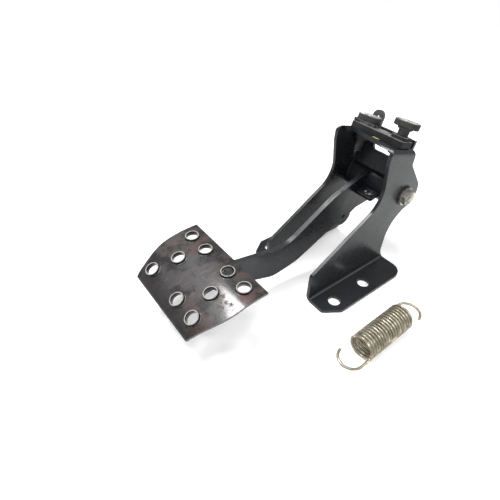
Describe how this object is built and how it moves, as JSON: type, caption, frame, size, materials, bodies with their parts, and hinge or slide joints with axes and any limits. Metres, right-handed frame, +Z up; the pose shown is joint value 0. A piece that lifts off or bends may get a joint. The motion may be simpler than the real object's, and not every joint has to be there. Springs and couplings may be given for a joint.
{
  "type": "rear brake pedal",
  "caption": "Foot brake pedal: a crowned tread pad on a flat-bar arm that pivots in a folded steel bracket with bolt-down feet, its return spring unhooked and laid beside it.",
  "frame": {"origin": "centre of the foot holes, on the underside of the feet", "axes": "+Z up, away from the surface the feet are bolted to; X along the pedal's pivot; the pad points towards -Y"},
  "size_m": [0.1703, 0.2489, 0.1415],
  "materials": {
    "bracket_paint": "semi-gloss black paint",
    "arm_paint": "semi-gloss black paint, worn bright on the top edge",
    "pad_paint": "glossy worn brown-black paint",
    "strip_steel": "dull dark grey",
    "dark_steel": "dark, dirty steel",
    "screw_zinc": "dull grey zinc",
    "pivot_zinc": "dull silver zinc",
    "spring_zinc": "yellowish zinc wire",
    "bush": "dark nylon"
  },
  "bodies": {
    "bracket": {"mounting_bracket": "bracket_paint", "spring_plate": "bracket_paint", "clamp_strip": "strip_steel", "left_tab_washer": "dark_steel", "right_tab_washer": "strip_steel", "left_clamp_screw": "screw_zinc", "right_clamp_screw": "screw_zinc", "bridge_nuts": "screw_zinc", "pivot_bolt": "pivot_zinc", "pivot_sleeve": "pivot_zinc", "bolt_head_washer": "pivot_zinc", "spacing_washer": "dark_steel", "nut_washer": "pivot_zinc", "pivot_nut": "pivot_zinc", "return_spring": "spring_zinc"},
    "pedal": {"pedal_hub": "arm_paint", "left_pivot_bush": "bush", "right_pivot_bush": "bush", "pedal_arm": "arm_paint", "hub_gusset": "arm_paint", "hub_welds": "arm_paint", "pedal_pad": "pad_paint", "pad_welds": "arm_paint"}
  },
  "joints": [
    {"name": "pedal_pivot", "type": "hinge", "parent": "bracket", "child": "pedal", "pos_m": [0, 0.07, 0.072], "axis": [1, 0, 0], "range_deg": [0, 18]}
  ]
}
